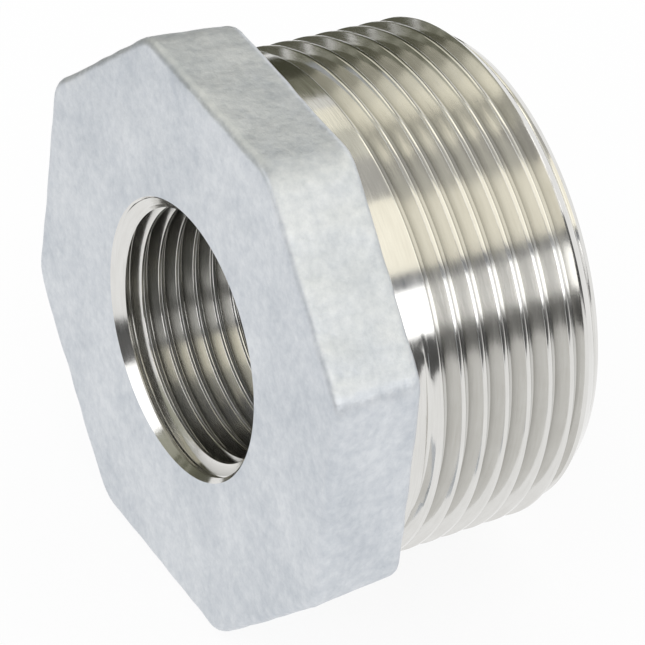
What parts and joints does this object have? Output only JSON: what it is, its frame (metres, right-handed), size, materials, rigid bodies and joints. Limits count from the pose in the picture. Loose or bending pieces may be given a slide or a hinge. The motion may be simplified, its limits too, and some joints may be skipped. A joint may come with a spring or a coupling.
{
  "type": "pipe reducing bushing",
  "caption": "Threaded reducing bushing with an octagonal wrench head: tapered male pipe thread outside, smaller female pipe thread through the middle.",
  "frame": {"origin": "on the thread axis, in the plane of the shoulder where the head's back face meets the male thread", "axes": "+X along the thread axis towards the male end, +Z square to the head's upper flat, with the bushing lying on its lower flat"},
  "size_m": [0.031, 0.0532, 0.0532],
  "materials": {
    "cast_steel": "pickled cast stainless steel with bright machined threads"
  },
  "bodies": {
    "root": {"bushing_body": "cast_steel"}
  },
  "joints": []
}
